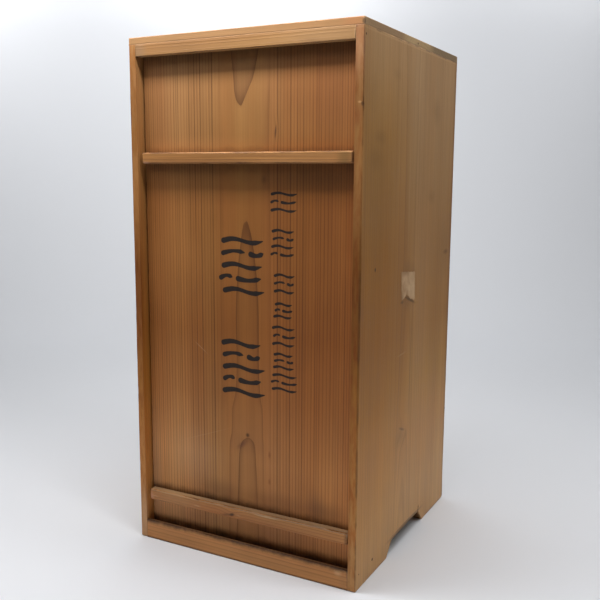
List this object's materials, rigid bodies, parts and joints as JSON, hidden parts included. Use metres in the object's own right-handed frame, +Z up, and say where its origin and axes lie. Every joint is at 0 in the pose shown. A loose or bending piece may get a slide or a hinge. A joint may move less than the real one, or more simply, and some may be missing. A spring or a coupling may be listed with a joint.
{
  "type": "wooden storage case with drop-in front lid",
  "caption": "Tall cedar storage case for a stacked food box: open-fronted board carcass, header and sill rails, battened lid that lifts out, foot notches in the sides.",
  "frame": {"origin": "middle of the underside, on the surface the case stands on", "axes": "+Z up; -Y is the front with the lid; +X is the case's right side as seen from the front"},
  "size_m": [0.27, 0.277, 0.554],
  "materials": {
    "side_boards": "aged planed cedar, matt",
    "top_board": "aged planed cedar, matt",
    "rails": "aged planed cedar, satin with handling",
    "lid": "aged planed cedar, satin with handling",
    "back_and_floor": "unfinished cedar, matt"
  },
  "bodies": {
    "root": {"side_board_left": "side_boards", "side_board_right": "side_boards", "top_board": "top_board", "back_board": "back_and_floor", "floor_board": "back_and_floor", "header_rail": "rails", "sill_rail": "rails", "lid_panel": "lid", "upper_batten": "rails", "lower_batten": "rails"}
  },
  "joints": []
}
